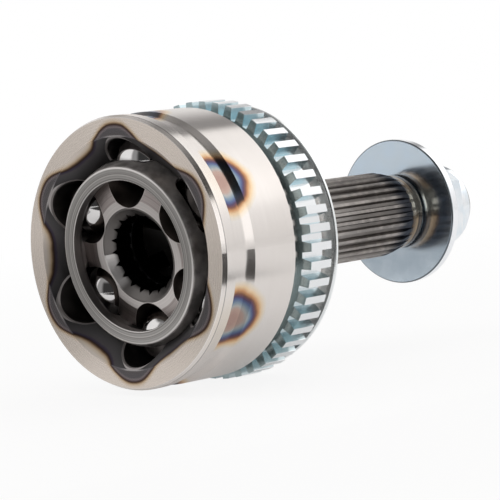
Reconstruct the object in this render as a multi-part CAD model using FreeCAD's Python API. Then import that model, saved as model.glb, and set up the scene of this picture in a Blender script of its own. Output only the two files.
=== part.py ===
"""Outer constant velocity joint: bell with stub shaft, cage, balls, inner race, ring, shield, washer, nut.

The joint centre is the origin. The shaft axis is +Y, towards the nut, and the mouth looks along -Y.
All sizes are in millimetres.
"""
import FreeCAD, Part
import math
import os

os.makedirs("parts", exist_ok=True)

# Bell radius, and the ball set inside its wall
bell_radius = 43.1
bell_wall = 6.37
ball_count = 6
ball_radius = 8.73
pitch_radius = bell_radius - bell_wall - ball_radius
track_offset = 3.4
track_clearance = 0.18
track_radius = ball_radius + track_clearance
track_arc_radius = math.hypot(pitch_radius, track_offset)
bend_degrees_at_rest = 9.24

# Cage
cage_above_pitch = 3.0
cage_wall = 5.0
cage_rail = 4.27
cage_bore_step = 2.1
cage_edge_rounding = 1.0
sphere_clearance = 0.15
window_side_clearance = 0.35
window_play = 1.57
window_corner = 4.0
cage_outer_radius = pitch_radius + cage_above_pitch
cage_inner_radius = cage_outer_radius - cage_wall
cage_bore_radius = cage_inner_radius - cage_bore_step
cage_half_width = ball_radius + cage_rail

# Inner race, from its spline out to its sphere
race_wall = 7.07
race_front = 8.2
race_back = 9.2
race_land_width = 6.75
race_land_drop = 1.2
inner_spline_teeth = 20
inner_spline_depth = 1.05
inner_spline_turn_degrees = 16.4
bore_chamfer = 2.65
race_radius = cage_inner_radius - sphere_clearance
race_shoulder_radius = race_radius - 1.0
race_face_radius = race_shoulder_radius - race_land_width
inner_spline_tip_radius = pitch_radius - ball_radius - race_wall
inner_spline_root_radius = inner_spline_tip_radius + inner_spline_depth
race_bore_mouth_radius = inner_spline_tip_radius + bore_chamfer

# Wire ring in the inner race's bore
circlip_wire = 1.7
circlip_groove_depth = 0.75
circlip_play = 0.05
circlip_place = 2.0
circlip_mouth_degrees = 24.0
circlip_groove_radius = inner_spline_root_radius + circlip_groove_depth

# Outside of the bell, depths measured back from its mouth face
mouth_to_centre = 14.6
lip_step = 0.1
lip_chamfer_height = 0.66
lip_chamfer = 1.4
lip_end = 5.4
groove_depth = 1.1
groove_start = 5.9
groove_end = 10.9
groove_rise_end = 13.7
body_end = 32.2
lip_radius = bell_radius - lip_step
lip_edge_radius = lip_radius - lip_chamfer_height
groove_radius = bell_radius - groove_depth

# Conical mouth, ball tracks and the hollow behind the cage
mouth_rim = 6.6
mouth_slope = 1.0
mouth_cone_depth = 7.5
track_bevel = 0.5
first_track_degrees = 30.0
track_mouth_degrees = -62.0
track_end_degrees = 54.0
pocket_narrowing = 11.5
pocket_behind_sphere = 1.85
mouth_radius = bell_radius - mouth_rim
bell_sphere_radius = cage_outer_radius + sphere_clearance
pocket_radius = pitch_radius - pocket_narrowing
pocket_depth = mouth_to_centre + bell_sphere_radius + pocket_behind_sphere

# Speed sensor ring and its seat
ring_seat_step = 5.1
ring_stop_height = 1.4
ring_wall = 2.7
ring_tooth_height = 3.9
ring_gap = 5.4
ring_length = 9.4
ring_teeth = 48
ring_tip_half_degrees = 1.63
ring_root_half_degrees = 2.47
ring_turn_degrees = 4.6
ring_start = body_end + ring_gap
ring_end = ring_start + ring_length
ring_seat_radius = bell_radius - ring_seat_step
ring_stop_radius = ring_seat_radius + ring_stop_height
ring_floor_radius = ring_seat_radius + ring_wall
ring_tip_radius = ring_floor_radius + ring_tooth_height

# Dust shield and its seat
neck_step = 2.0
neck_length = 4.1
shield_seat_step = 1.5
shield_sheet = 1.5
shield_below_bell = 0.3
shield_collar_length = 6.0
neck_radius = ring_seat_radius - neck_step
shield_seat_radius = neck_radius - shield_seat_step
shield_radius = bell_radius - shield_below_bell
shield_start = ring_end + neck_length

# Stub shaft, from the bearing face to the thread
spline_teeth = 28
spline_tip_radius = 14.38
spline_tooth_height = 1.28
spline_tip_half_degrees = 2.0
spline_root_half_degrees = 4.3
spline_straight = 48.5
spline_run_out = 6.5
shoulder_length = 4.5
thread_below_root = 1.1
undercut_depth = 0.2
bearing_face_behind_shield = 10.9
bearing_face_width = 8.0
journal_step = 1.62
journal_length = 8.0
undercut_length = 2.0
end_chamfer = 1.2
centre_hole_radius = 2.6
centre_hole_depth = 4.0
spline_root_radius = spline_tip_radius - spline_tooth_height
undercut_radius = spline_root_radius - undercut_depth
thread_radius = spline_root_radius - thread_below_root
journal_radius = spline_tip_radius + journal_step
bearing_face_radius = journal_radius + bearing_face_width
bearing_face = shield_start + bearing_face_behind_shield
journal_end = bearing_face + journal_length
spline_start = journal_end + undercut_length
spline_straight_end = spline_start + spline_straight
spline_end = spline_straight_end + spline_run_out
shoulder_end = spline_end + shoulder_length

# Washer and hub nut
washer_gap = 0.2
washer_thick = 3.5
washer_width = 12.8
washer_play = 0.1
nut_wall = 4.0
nut_hex_height = 13.5
nut_collar_wall = 2.2
nut_collar_height = 6.5
thread_play = 0.05
thread_beyond_nut = 3.6
washer_start = shoulder_end + washer_gap
washer_radius = thread_radius + washer_width
nut_start = washer_start + washer_thick
nut_top = nut_start + nut_hex_height
nut_end = nut_top + nut_collar_height
nut_across_flats = 2 * (thread_radius + nut_wall)
nut_collar_radius = thread_radius + nut_collar_wall
shaft_end = nut_end + thread_beyond_nut

ORIGIN = FreeCAD.Vector(0, 0, 0)
AXIS = FreeCAD.Vector(0, 1, 0)
HINGE = FreeCAD.Vector(1, 0, 0)


def back(depth):
    """Place on the shaft axis for a depth behind the mouth face."""
    return depth - mouth_to_centre


def around(radius, degrees, y=0.0):
    """Point at a radius and an angle about the shaft axis."""
    angle = math.radians(degrees)
    return FreeCAD.Vector(radius * math.cos(angle), y, radius * math.sin(angle))


def turned(*corners):
    """Solid turned about the shaft axis; a corner is (radius, y) or (radius, y, rounding)."""
    points = [FreeCAD.Vector(corner[0], corner[1], 0) for corner in corners]
    ends = []
    edges = []
    for index, here in enumerate(points):
        before = (points[index - 1] - here).normalize()
        after = (points[(index + 1) % len(points)] - here).normalize()
        rounding = corners[index][2] if len(corners[index]) > 2 else 0.0
        if rounding:
            half = before.getAngle(after) / 2
            first = here + before * (rounding / math.tan(half))
            last = here + after * (rounding / math.tan(half))
            middle = here + (before + after).normalize() * (rounding / math.sin(half) - rounding)
            edges.append(Part.Arc(first, middle, last).toShape())
            ends.append((first, last))
        else:
            ends.append((here, here))
    for index in range(len(points)):
        start = ends[index][1]
        finish = ends[(index + 1) % len(points)][0]
        edges.append(Part.makeLine(start, finish))
    wire = Part.Wire(Part.__sortEdges__(edges))
    return Part.Face(wire).revolve(ORIGIN, AXIS, 360)


def toothed(teeth, tip_radius, root_radius, tip_half, root_half, phase, start, length):
    """Prism along the shaft axis with straight-flanked teeth; half widths and phase in degrees."""
    pitch = 360.0 / teeth
    edges = []
    for index in range(teeth):
        middle = phase + index * pitch
        root_in = around(root_radius, middle - root_half, start)
        tip_in = around(tip_radius, middle - tip_half, start)
        tip_out = around(tip_radius, middle + tip_half, start)
        root_out = around(root_radius, middle + root_half, start)
        root_next = around(root_radius, middle + pitch - root_half, start)
        edges.append(Part.makeLine(root_in, tip_in))
        edges.append(Part.Arc(tip_in, around(tip_radius, middle, start), tip_out).toShape())
        edges.append(Part.makeLine(tip_out, root_out))
        floor = around(root_radius, middle + pitch / 2, start)
        edges.append(Part.Arc(root_out, floor, root_next).toShape())
    return Part.Face(Part.Wire(edges)).extrude(AXIS * length)


def ball_track(azimuth, centre_y, first, last):
    """Round-bottomed curved groove for one ball, from first to last degrees towards the nut."""
    outward = around(1.0, azimuth)
    centre = AXIS * centre_y
    angle = math.radians(first)
    place = centre + (outward * math.cos(angle) + AXIS * math.sin(angle)) * track_arc_radius
    heading = AXIS * math.cos(angle) - outward * math.sin(angle)
    disc = Part.Face(Part.Wire(Part.makeCircle(track_radius, place, heading)))
    return disc.revolve(centre, outward.cross(AXIS), last - first)


def ball_place(azimuth, bend):
    """Centre of one ball with the inner race bent about the hinge by bend degrees."""
    lean = math.tan(math.radians(bend / 2))
    height = math.sin(math.radians(azimuth))
    slant = height * lean
    square = 1 + slant ** 2
    room = (track_offset * slant) ** 2 + square * (track_arc_radius ** 2 - track_offset ** 2)
    radius = (track_offset * slant + math.sqrt(room)) / square
    return around(radius, azimuth, -radius * slant)


def azimuths():
    return [first_track_degrees + index * 360.0 / ball_count for index in range(ball_count)]


def tilted(shape, degrees):
    """Copy of a shape bent about the joint's hinge axis."""
    bent = shape.copy()
    bent.rotate(ORIGIN, HINGE, degrees)
    return bent


def track_mouth_edges(race):
    """Edges where the ball tracks come out through the mouth cone."""
    edges = []
    for edge in race.Edges:
        kinds = [type(face.Surface) for face in race.ancestorsOfType(edge, Part.Face)]
        in_mouth = edge.BoundBox.YMax < back(mouth_cone_depth + 2.0)
        if in_mouth and Part.Toroid in kinds and Part.Cone in kinds:
            edges.append(edge)
    return edges


def make_outer_race():
    blank = turned(
        (0, back(0)),
        (lip_edge_radius, back(0)),
        (lip_radius, back(lip_chamfer)),
        (lip_radius, back(lip_end), 0.3),
        (groove_radius, back(groove_start), 0.4),
        (groove_radius, back(groove_end), 3.0),
        (bell_radius, back(groove_rise_end)),
        (bell_radius, back(body_end - 0.4)),
        (bell_radius - 0.6, back(body_end)),
        (ring_stop_radius, back(body_end), 0.8),
        (ring_stop_radius, back(ring_start)),
        (ring_seat_radius, back(ring_start)),
        (ring_seat_radius, back(ring_end), 0.4),
        (neck_radius, back(ring_end + 1.2), 0.8),
        (neck_radius, back(shield_start)),
        (shield_seat_radius, back(shield_start)),
        (shield_seat_radius, back(shield_start + shield_collar_length), 0.5),
        (bearing_face_radius + 2.0, back(bearing_face - 2.0), 6.0),
        (bearing_face_radius, back(bearing_face), 0.6),
        (journal_radius + 1.4, back(bearing_face), 0.3),
        (journal_radius, back(bearing_face + 1.0), 0.8),
        (journal_radius, back(journal_end), 0.5),
        (undercut_radius, back(journal_end + 0.8), 0.8),
        (undercut_radius, back(spline_start + 1.0)),
        (spline_root_radius, back(spline_start + 1.4)),
        (spline_root_radius, back(spline_end - 2.0)),
        (undercut_radius, back(spline_end), 0.4),
        (thread_radius + 0.8, back(shoulder_end - 1.2), 1.0),
        (thread_radius, back(shoulder_end)),
        (thread_radius, back(shaft_end - end_chamfer)),
        (thread_radius - end_chamfer, back(shaft_end)),
        (centre_hole_radius, back(shaft_end)),
        (0, back(shaft_end - centre_hole_depth)),
    )
    teeth = toothed(spline_teeth, spline_tip_radius, undercut_radius, spline_tip_half_degrees,
                    spline_root_half_degrees, 0.0, back(spline_start), spline_end - spline_start)
    envelope = turned(
        (0, back(spline_start)),
        (spline_root_radius, back(spline_start)),
        (spline_tip_radius, back(spline_start + 1.4)),
        (spline_tip_radius, back(spline_straight_end), 14.0),
        (undercut_radius, back(spline_end)),
        (0, back(spline_end)),
    )
    mouth = turned(
        (0, back(-1.0)),
        (mouth_radius + mouth_slope, back(-1.0)),
        (mouth_radius - mouth_slope * mouth_cone_depth, back(mouth_cone_depth)),
        (0, back(mouth_cone_depth)),
    )
    pocket = turned(
        (0, bell_sphere_radius / 2),
        (pocket_radius, bell_sphere_radius / 2),
        (pocket_radius, back(pocket_depth), 4.0),
        (0, back(pocket_depth + 2.0)),
    )
    hollow = [Part.makeSphere(bell_sphere_radius, ORIGIN, AXIS), mouth, pocket]
    for azimuth in azimuths():
        hollow.append(ball_track(azimuth, -track_offset, track_mouth_degrees, track_end_degrees))
    race = blank.fuse(teeth.common(envelope)).cut(hollow).removeSplitter()
    return race.makeChamfer(track_bevel, track_mouth_edges(race))


def make_cage():
    ring = turned(
        (cage_bore_radius, -cage_half_width, 0.3),
        (cage_outer_radius + cage_wall, -cage_half_width),
        (cage_outer_radius + cage_wall, cage_half_width),
        (cage_bore_radius, cage_half_width, 0.3),
    )
    ring = ring.common(Part.makeSphere(cage_outer_radius, ORIGIN, AXIS))
    rims = [edge for edge in ring.Edges if abs(edge.BoundBox.YMin) > cage_half_width - 0.01
            and edge.BoundBox.XMax > cage_outer_radius - cage_wall]
    ring = ring.makeFillet(cage_edge_rounding, rims)
    ring = ring.cut(Part.makeSphere(cage_inner_radius, ORIGIN, AXIS))
    half_length = ball_radius + window_play
    half_side = ball_radius + window_side_clearance
    corner = FreeCAD.Vector(cage_inner_radius - cage_wall, -half_side, -half_length)
    window = Part.makeBox(3 * cage_wall, 2 * half_side, 2 * half_length, corner)
    upright = [edge for edge in window.Edges if edge.BoundBox.XLength > cage_wall]
    window = window.makeFillet(window_corner, upright)
    windows = []
    for azimuth in azimuths():
        copy = window.copy()
        copy.rotate(ORIGIN, AXIS, -azimuth)
        windows.append(copy)
    return ring.cut(windows)


def make_inner_race():
    blank = turned(
        (inner_spline_tip_radius, bore_chamfer - race_front),
        (race_bore_mouth_radius, -race_front),
        (race_face_radius, -race_front),
        (race_shoulder_radius, race_land_drop - race_front),
        (race_radius + cage_wall, race_land_drop - race_front),
        (race_radius + cage_wall, race_back - race_land_drop),
        (race_shoulder_radius, race_back - race_land_drop),
        (race_face_radius, race_back),
        (race_bore_mouth_radius, race_back),
        (inner_spline_tip_radius, race_back - bore_chamfer),
    )
    race = blank.common(Part.makeSphere(race_radius, ORIGIN, AXIS))
    cuts = [ball_track(azimuth, track_offset, track_mouth_degrees, track_end_degrees) for azimuth in azimuths()]
    pitch = 360.0 / inner_spline_teeth
    inside = inner_spline_tip_radius - inner_spline_depth / 4
    start = -2 * race_front
    star = []
    for index in range(inner_spline_teeth):
        middle = inner_spline_turn_degrees + index * pitch
        star.append(around(inside, middle - pitch * 0.29, start))
        star.append(around(inner_spline_root_radius, middle - pitch * 0.03, start))
        star.append(around(inner_spline_root_radius, middle + pitch * 0.03, start))
        star.append(around(inside, middle + pitch * 0.29, start))
    star.append(star[0])
    cuts.append(Part.Face(Part.makePolygon(star)).extrude(AXIS * (2 * race_front + 2 * race_back)))
    groove_half = circlip_wire / 2 + circlip_play
    cuts.append(turned(
        (inside, circlip_place - groove_half),
        (circlip_groove_radius, circlip_place - groove_half),
        (circlip_groove_radius, circlip_place + groove_half),
        (inside, circlip_place + groove_half),
    ))
    return race.cut(cuts)


def make_circlip():
    wire_radius = circlip_wire / 2
    ring_radius = circlip_groove_radius - circlip_play - wire_radius
    start = around(ring_radius, circlip_mouth_degrees / 2 - 90, circlip_place)
    heading = AXIS.cross(start - AXIS * circlip_place)
    disc = Part.Face(Part.Wire(Part.makeCircle(wire_radius, start, heading)))
    return disc.revolve(ORIGIN, AXIS * -1, 360 - circlip_mouth_degrees)


def make_tone_ring():
    ring = toothed(ring_teeth, ring_tip_radius, ring_floor_radius, ring_tip_half_degrees,
                   ring_root_half_degrees, ring_turn_degrees, back(ring_start), ring_length)
    bore = turned(
        (0, back(ring_start) - 1),
        (ring_seat_radius, back(ring_start) - 1),
        (ring_seat_radius, back(ring_end - 0.6)),
        (ring_seat_radius + 0.6, back(ring_end)),
        (ring_seat_radius + 0.6, back(ring_end) + 1),
        (0, back(ring_end) + 1),
    )
    return ring.cut(bore)


def make_dust_shield():
    return turned(
        (shield_seat_radius, back(shield_start)),
        (shield_radius - 0.3, back(shield_start)),
        (shield_radius, back(shield_start + 0.3)),
        (shield_radius, back(shield_start + shield_sheet - 0.4)),
        (shield_radius - 0.8, back(shield_start + shield_sheet)),
        (shield_seat_radius + shield_sheet, back(shield_start + shield_sheet), 1.0),
        (shield_seat_radius + shield_sheet, back(shield_start + shield_collar_length), 0.4),
        (shield_seat_radius, back(shield_start + shield_collar_length)),
    )


def make_washer():
    bore = thread_radius + washer_play
    return turned(
        (bore, back(washer_start + 0.3)),
        (bore + 0.3, back(washer_start)),
        (washer_radius, back(washer_start), 0.5),
        (washer_radius, back(washer_start + washer_thick), 0.5),
        (bore + 0.3, back(washer_start + washer_thick)),
        (bore, back(washer_start + washer_thick - 0.3)),
    )


def make_axle_nut():
    bore = thread_radius + thread_play
    corner_radius = nut_across_flats / 2 / math.cos(math.radians(30))
    corners = [around(corner_radius, 60 * index + 30, back(nut_start)) for index in range(6)]
    prism = Part.Face(Part.makePolygon(corners + corners[:1])).extrude(AXIS * (nut_end - nut_start))
    blank = turned(
        (bore, back(nut_start + 1.0)),
        (bore + 1.0, back(nut_start)),
        (nut_across_flats / 2 - 0.4, back(nut_start)),
        (corner_radius + 0.1, back(nut_start + 1.5)),
        (corner_radius + 0.1, back(nut_top - 1.5)),
        (nut_across_flats / 2 - 0.2, back(nut_top), 0.4),
        (nut_collar_radius, back(nut_top), 0.3),
        (nut_collar_radius, back(nut_end), 1.0),
        (bore + 1.0, back(nut_end)),
        (bore, back(nut_end - 1.0)),
    )
    return prism.common(blank)


shapes = {
    "outer_race": make_outer_race(),
    "tone_ring": make_tone_ring(),
    "dust_shield": make_dust_shield(),
    "cage": tilted(make_cage(), bend_degrees_at_rest / 2),
    "inner_race": tilted(make_inner_race(), bend_degrees_at_rest),
    "retaining_circlip": tilted(make_circlip(), bend_degrees_at_rest),
    "washer": make_washer(),
    "axle_nut": make_axle_nut(),
}
for index, azimuth in enumerate(azimuths()):
    place = ball_place(azimuth, bend_degrees_at_rest)
    shapes["ball_%d" % (index + 1)] = Part.makeSphere(ball_radius, place, AXIS)

for name, shape in shapes.items():
    solid = shape.Solids[0]
    print(name, "solids", len(shape.Solids), "valid", solid.isValid(), "cm3", round(solid.Volume / 1000, 2))
    solid.exportStep(os.path.join("parts", name + ".step"))
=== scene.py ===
# %% [markdown]
# # An outer constant velocity joint, dressed from its CAD
# The CAD already holds every turned, milled and forged shape of this joint, to a few
# hundredths of a millimetre. The pieces could be modelled again with bmesh, but a copy would
# only drift away from them. So this lesson makes no new shapes: it gives each steel piece the
# finish that its own machine, furnace or plating bath left on it.
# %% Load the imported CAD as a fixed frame
import bpy
import math
from mathutils import Matrix, Vector

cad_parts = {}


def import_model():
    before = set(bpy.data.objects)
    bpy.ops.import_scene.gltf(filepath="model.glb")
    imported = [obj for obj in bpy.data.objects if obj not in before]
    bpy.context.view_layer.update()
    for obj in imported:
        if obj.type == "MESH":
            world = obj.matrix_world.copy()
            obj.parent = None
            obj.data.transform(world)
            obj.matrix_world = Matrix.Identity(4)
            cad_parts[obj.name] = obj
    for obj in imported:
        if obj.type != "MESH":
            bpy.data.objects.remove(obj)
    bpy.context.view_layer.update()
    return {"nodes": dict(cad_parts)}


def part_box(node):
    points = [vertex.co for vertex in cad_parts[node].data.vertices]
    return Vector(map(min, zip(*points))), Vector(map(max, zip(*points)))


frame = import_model()

# %% [markdown]
# ## Camera
# A long lens stands about 0.9 m away, a little above the joint and in front of its mouth on
# the +X side. It could be aimed by eye with a Track To constraint, but its place and turn were
# fitted to the outlines of the mouth, the ring and the washer, so they are written as a place
# and three directions rather than as angles.
# %% Camera
LENS_MM = 197.5
SENSOR_MM = 36.0
STAND = (0.6108, -0.6039, 0.0659)
camera_data = bpy.data.cameras.new("product_camera")
camera_data.sensor_width = SENSOR_MM
camera_data.lens = LENS_MM
camera_data.clip_end = 20.0
camera = bpy.data.objects.new("product_camera", camera_data)
to_right = Vector((0.72889, 0.68054, -0.07477))
upward = Vector((0.0, 0.10922, 0.99402))
backward = Vector((0.68464, -0.72453, 0.07961))
turn = Matrix((to_right, upward, backward)).transposed()
camera.matrix_world = Matrix.Translation(STAND) @ turn.to_4x4()
bpy.context.scene.collection.objects.link(camera)
bpy.context.scene.camera = camera
print("camera distance from the joint centre:", round(camera.location.length, 3), "m")

# %% [markdown]
# ## Helpers for shader trees
# Every finish below is a small graph of maths. It could be wired by hand in the Shader
# Editor. These helpers add one node at a time instead and return its output socket, so that
# a formula can be read from left to right, and a mask can be named for what it covers.
# %% Helpers: arithmetic
def feed(tree, socket, value):
    """Links a socket, or sets a plain value; a colour may be given as (r, g, b)."""
    if isinstance(value, bpy.types.NodeSocket):
        tree.links.new(value, socket)
    elif socket.type == "RGBA":
        socket.default_value = (*value[:3], 1.0)
    else:
        socket.default_value = value


def calc(tree, operation, first, second=0.0, third=0.0, clamp=False):
    """One step of arithmetic."""
    node = tree.nodes.new("ShaderNodeMath")
    node.operation = operation
    node.use_clamp = clamp
    for socket, value in zip(node.inputs, (first, second, third)):
        feed(tree, socket, value)
    return node.outputs[0]


def smooth(tree, value, low, high):
    """0 below low, 1 above high, with a soft step between; low may be the larger one."""
    node = tree.nodes.new("ShaderNodeMapRange")
    node.interpolation_type = "SMOOTHSTEP"
    for name, number in zip(("Value", "From Min", "From Max"), (value, low, high)):
        feed(tree, node.inputs[name], number)
    return node.outputs["Result"]


def straight(tree, value, from_low, from_high, to_low=0.0, to_high=1.0):
    """Carries one range onto another in a straight line, and stops at its ends."""
    node = tree.nodes.new("ShaderNodeMapRange")
    names = ("Value", "From Min", "From Max", "To Min", "To Max")
    for name, number in zip(names, (value, from_low, from_high, to_low, to_high)):
        feed(tree, node.inputs[name], number)
    return node.outputs["Result"]


def lifted(tree, pattern, amount, base):
    """A base number that a pattern raises by up to an amount."""
    return calc(tree, "MULTIPLY_ADD", pattern, amount, base)


print("arithmetic helpers ready")

# %% Helpers: masks
def beyond(tree, value, edge, blur):
    """1 past an edge and 0 before it, soft over blur on each side."""
    return smooth(tree, value, edge - blur, edge + blur)


def before(tree, value, edge, blur):
    """1 before an edge and 0 past it, soft over blur on each side."""
    return smooth(tree, value, edge + blur, edge - blur)


def off(tree, value, centre):
    """How far a number is from a centre, either way."""
    return calc(tree, "ABSOLUTE", calc(tree, "SUBTRACT", value, centre))


def line(tree, value, centre, full, gone):
    """1 within full of a centre, fading to 0 where it is gone off."""
    return smooth(tree, off(tree, value, centre), gone, full)


def both(tree, first, second):
    """Where two masks overlap, or a mask made weaker by a number."""
    return calc(tree, "MULTIPLY", first, second)


def either(tree, first, second):
    """Where at least one of two masks is."""
    return calc(tree, "MAXIMUM", first, second)


print("mask helpers ready")

# %% Helpers: colours and patterns
def blend(tree, factor, first, second, kind="MIX"):
    """Mixes two colours."""
    node = tree.nodes.new("ShaderNodeMix")
    node.data_type = "RGBA"
    node.blend_type = kind
    feed(tree, node.inputs[0], factor)
    feed(tree, node.inputs[6], first)
    feed(tree, node.inputs[7], second)
    return node.outputs[2]


def mixed(tree, factor, first, second):
    """Mixes two numbers."""
    node = tree.nodes.new("ShaderNodeMix")
    feed(tree, node.inputs[0], factor)
    feed(tree, node.inputs[2], first)
    feed(tree, node.inputs[3], second)
    return node.outputs[0]


def noise(tree, vector=None, scale=5.0, detail=2.0, along=None):
    """Noise over a point, or along one number."""
    node = tree.nodes.new("ShaderNodeTexNoise")
    node.inputs["Scale"].default_value = scale
    node.inputs["Detail"].default_value = detail
    if along is not None:
        node.noise_dimensions = "1D"
        tree.links.new(along, node.inputs["W"])
    else:
        tree.links.new(vector, node.inputs["Vector"])
    return node.outputs["Fac"]


def colours(tree, value, stops):
    """A colour ramp from (position, (r, g, b)) stops."""
    node = tree.nodes.new("ShaderNodeValToRGB")
    ramp = node.color_ramp
    while len(ramp.elements) < len(stops):
        ramp.elements.new(0.5)
    for element, (position, colour) in zip(ramp.elements, stops):
        element.position = position
        element.color = (*colour, 1.0)
    feed(tree, node.inputs[0], value)
    return node.outputs[0]


print("colour helpers ready")

# %% Helpers: groups
def group(name, inputs, outputs):
    """A new node group; inputs are (name, kind, default) and outputs are (name, kind)."""
    tree = bpy.data.node_groups.new(name, "ShaderNodeTree")
    kinds = {
        "value": "NodeSocketFloat", "colour": "NodeSocketColor", "vector": "NodeSocketVector",
    }
    for socket_name, kind, default in inputs:
        socket = tree.interface.new_socket(
            socket_name, in_out="INPUT", socket_type=kinds[kind],
        )
        socket.default_value = default
    for socket_name, kind in outputs:
        tree.interface.new_socket(socket_name, in_out="OUTPUT", socket_type=kinds[kind])
    given = tree.nodes.new("NodeGroupInput").outputs
    gives = tree.nodes.new("NodeGroupOutput").inputs
    return tree, given, gives


def place(tree, made_group, **values):
    """Puts a group in a tree and feeds its inputs by name, with _ for each space."""
    node = tree.nodes.new("ShaderNodeGroup")
    node.node_tree = made_group
    for name, value in values.items():
        feed(tree, node.inputs[name.replace("_", " ")], value)
    return node.outputs


print("group helpers ready")

# %% Helpers: materials
def finish_of(name):
    """A new material, its tree and its Principled shader."""
    material = bpy.data.materials.new(name)
    material.use_nodes = True
    tree = material.node_tree
    return material, tree, tree.nodes["Principled BSDF"]


def relief(tree, shader, height, depth_mm):
    """A Bump node from a height between 0 and 1, depth in millimetres."""
    node = tree.nodes.new("ShaderNodeBump")
    node.inputs["Strength"].default_value = 1.0
    node.inputs["Distance"].default_value = depth_mm / 1000.0
    feed(tree, node.inputs["Height"], height)
    tree.links.new(node.outputs["Normal"], shader.inputs["Normal"])


def turned_gloss(tree, shader, amount):
    """Stretches highlights across the lathe lines, which run round the Y axis."""
    round_the_axis = tree.nodes.new("ShaderNodeTangent")
    round_the_axis.direction_type = "RADIAL"
    round_the_axis.axis = "Y"
    tree.links.new(round_the_axis.outputs[0], shader.inputs["Tangent"])
    shader.inputs["Anisotropic"].default_value = amount
    shader.inputs["Anisotropic Rotation"].default_value = 0.25


def dress(material, *node_names):
    """Gives CAD nodes a new material."""
    for name in node_names:
        node = frame["nodes"][name]
        node.data.materials.clear()
        node.data.materials.append(material)


print("material helpers ready")

# %% [markdown]
# ## Where a point is on the joint
# Everything on this joint was turned about one axis, so its finishes follow three numbers:
# the depth behind the mouth face, the radius, and the angle from the nearest ball track.
# UV maps could carry them, but a CAD mesh has none, and unwrapping it would make seams. This
# group works them out from object coordinates. Lean turns the point back for the cage and
# the inner race, which rest bent.
# %% Group: joint coordinates
MOUTH_TO_CENTRE = 14.6
BALL_COUNT = 6
joint_place, given, gives = group(
    "Joint place",
    [("Lean", "value", 0.0)],
    [
        ("Point", "vector"), ("Depth", "value"), ("Radius", "value"),
        ("Angle", "value"), ("From Track", "value"),
    ],
)
tree = joint_place
spot = tree.nodes.new("ShaderNodeTexCoord").outputs["Object"]
level = tree.nodes.new("ShaderNodeVectorRotate")
level.rotation_type = "X_AXIS"
tree.links.new(spot, level.inputs["Vector"])
feed(tree, level.inputs["Angle"], calc(tree, "MULTIPLY", given["Lean"], -1.0))
in_mm = tree.nodes.new("ShaderNodeVectorMath")
in_mm.operation = "SCALE"
tree.links.new(level.outputs[0], in_mm.inputs[0])
in_mm.inputs["Scale"].default_value = 1000.0
split = tree.nodes.new("ShaderNodeSeparateXYZ")
tree.links.new(in_mm.outputs[0], split.inputs[0])
across = calc(tree, "POWER", split.outputs["X"], 2.0)
high = calc(tree, "POWER", split.outputs["Z"], 2.0)
around = calc(tree, "ARCTAN2", split.outputs["Z"], split.outputs["X"])
sector = 2.0 * math.pi / BALL_COUNT
in_sector = calc(tree, "FLOORED_MODULO", around, sector)
tree.links.new(in_mm.outputs[0], gives["Point"])
tree.links.new(calc(tree, "ADD", split.outputs["Y"], MOUTH_TO_CENTRE), gives["Depth"])
tree.links.new(calc(tree, "SQRT", calc(tree, "ADD", across, high)), gives["Radius"])
tree.links.new(around, gives["Angle"])
tree.links.new(calc(tree, "SUBTRACT", in_sector, sector / 2), gives["From Track"])
print("group made:", joint_place.name)

# %% [markdown]
# ## Distance from the nearest ball track
# A ball track is a round groove bent along an arc in a plane through the axis. Its faces could
# be picked by hand and given a slot of their own, but a formula also knows how far the edge
# is. The distance of a point from the groove's wall tells the black track from the ground cone
# round it, and it places the painted highlight on the narrow ring where the grinding wheel broke
# the edge.
# %% Group: track wall
TRACK_ARC = 28.206
TRACK_RADIUS = 8.91
BELL_TRACK_CENTRE = 11.2
RACE_TRACK_CENTRE = 18.0
track_wall, given, gives = group(
    "Track wall",
    [
        ("Depth", "value", 0.0), ("Radius", "value", 0.0),
        ("From Track", "value", 0.0), ("Arc Centre", "value", 0.0),
    ],
    [("Off Wall", "value")],
)


def length_of(tree, first, second):
    """The long side of a right-angled triangle."""
    squares = [calc(tree, "POWER", side, 2.0) for side in (first, second)]
    return calc(tree, "SQRT", calc(tree, "ADD", *squares))


tree = track_wall
outward = calc(tree, "MULTIPLY", given["Radius"], calc(tree, "COSINE", given["From Track"]))
aside = calc(tree, "MULTIPLY", given["Radius"], calc(tree, "SINE", given["From Track"]))
along = calc(tree, "SUBTRACT", given["Depth"], given["Arc Centre"])
off_arc = calc(tree, "SUBTRACT", length_of(tree, outward, along), TRACK_ARC)
off_middle = length_of(tree, off_arc, aside)
tree.links.new(calc(tree, "SUBTRACT", off_middle, TRACK_RADIUS), gives["Off Wall"])
print("group made:", track_wall.name)

# %% [markdown]
# ## Turning lines
# A lathe tool leaves rings that share the part's axis. On a cylinder they lie side by side
# along the axis, and on a flat end they are nested circles. A Wave texture could draw them,
# too evenly. Noise along depth plus a part of the radius is the same all the way round, so it
# gives both with one formula, and no two rings are alike.
# %% Group: turning lines
RADIUS_SHARE = 0.83
BROAD_PER_MM = 0.6
turning_lines, given, gives = group(
    "Turning lines",
    [
        ("Depth", "value", 0.0), ("Radius", "value", 0.0),
        ("Lines per mm", "value", 3.0), ("Wander", "value", 0.0),
    ],
    [("Fine", "value"), ("Broad", "value")],
)
tree = turning_lines
walk = lifted(tree, given["Radius"], RADIUS_SHARE, given["Depth"])
walk = calc(tree, "ADD", walk, given["Wander"])
ring_kinds = (("Fine", given["Lines per mm"], 3.0), ("Broad", BROAD_PER_MM, 2.0))
for wanted, lines_per_mm, detail in ring_kinds:
    steps = calc(tree, "MULTIPLY", walk, lines_per_mm)
    tree.links.new(noise(tree, along=steps, scale=1.0, detail=detail), gives[wanted])
print("group made:", turning_lines.name)

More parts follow.
